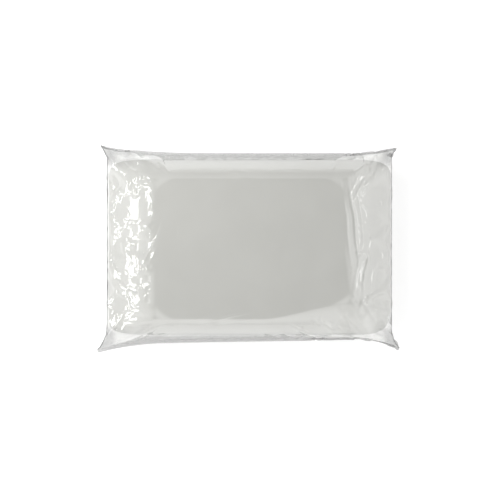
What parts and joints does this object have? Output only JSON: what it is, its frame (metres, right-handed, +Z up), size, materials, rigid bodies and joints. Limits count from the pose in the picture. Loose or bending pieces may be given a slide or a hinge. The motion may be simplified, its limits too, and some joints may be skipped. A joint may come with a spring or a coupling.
{
  "type": "bed pillow",
  "caption": "Flat-topped foam bed pillow with rounded shoulders, in a zipped knit cover, sealed in a clear film bag with an ear at each corner.",
  "frame": {"origin": "on the floor, under the middle of the bag's flat underside", "axes": "+X along the long side, towards the end where the closed zip's slider is; +Y across, away from the zip; +Z up"},
  "size_m": [0.6472, 0.4456, 0.1214],
  "materials": {
    "clear_film": "gloss",
    "sealed_film": "gloss",
    "cover_knit": "matte",
    "liner_knit": "matte",
    "foam": "matte",
    "zip_tape": "matte",
    "zip_coil": "satin",
    "zip_stitch": "matte",
    "slider_metal": "satin",
    "label_tape": "satin"
  },
  "bodies": {
    "pillow": {"foam_core": "foam", "liner_top": "liner_knit", "liner_bottom": "liner_knit", "cover_top_panel": "cover_knit", "cover_bottom_panel": "cover_knit", "zip_tape_upper": "zip_tape", "zip_tape_lower": "zip_tape", "zip_coil_upper": "zip_coil", "zip_coil_lower": "zip_coil", "zip_stop_left": "zip_stitch", "zip_stop_right": "zip_stitch", "care_label": "label_tape", "bag_top_film": "clear_film", "bag_bottom_film": "clear_film", "front_heat_seal": "sealed_film", "rear_heat_seal": "sealed_film", "left_side_weld": "sealed_film", "right_side_weld": "sealed_film"},
    "slider": {"zip_slider": "slider_metal"},
    "pull_tab": {"zip_pull_tab": "slider_metal"}
  },
  "joints": [
    {"name": "slider_slide", "type": "slide", "parent": "pillow", "child": "slider", "axis": [-1, 0, 0], "range_m": [0, 0.44]},
    {"name": "pull_tab_swing", "type": "hinge", "parent": "slider", "child": "pull_tab", "pos_m": [0.2191, -0.1912, 0.0607], "axis": [0, 0, 1], "range_deg": [0, 12]}
  ]
}
